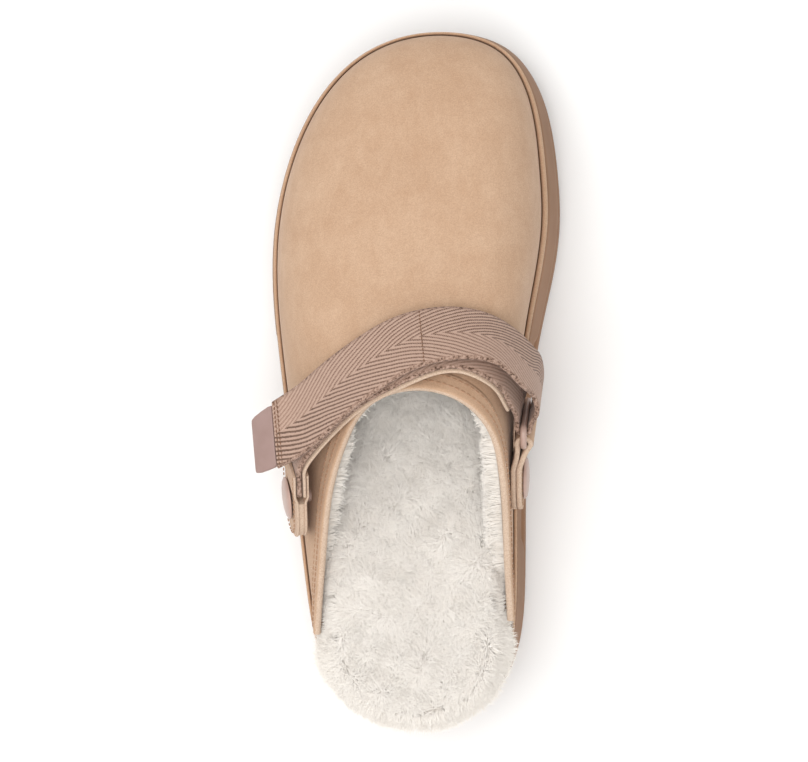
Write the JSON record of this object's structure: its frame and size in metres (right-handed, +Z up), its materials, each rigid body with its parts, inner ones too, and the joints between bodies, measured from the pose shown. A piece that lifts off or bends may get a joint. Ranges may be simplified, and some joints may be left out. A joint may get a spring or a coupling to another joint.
{
  "type": "clog slipper",
  "caption": "Backless suede clog slipper with a plush insole, a moulded platform sole and an adjustable webbing strap folded forward.",
  "frame": {"origin": "on the ground under the middle of the heel seat, on the flat of a heel lug", "axes": "+Y towards the toe, +X towards the inner side of the foot, +Z up"},
  "size_m": [0.1145, 0.27, 0.1164],
  "materials": {
    "foam": "matt moulded foam",
    "suede": "brushed suede",
    "pile": "deep wool pile",
    "webbing": "ribbed herringbone polyester webbing",
    "plastic": "matt rubbery plastic",
    "metal": "satin coat in the suede's tone"
  },
  "bodies": {
    "root": {"sole": "foam", "welt": "suede", "upper": "suede", "insole": "pile", "strap": "webbing", "strap_backing": "suede", "strap_tip": "plastic", "tab_outer": "suede", "tab_inner": "suede", "ring": "metal", "rivet_outer": "metal", "rivet_inner": "metal"}
  },
  "joints": []
}
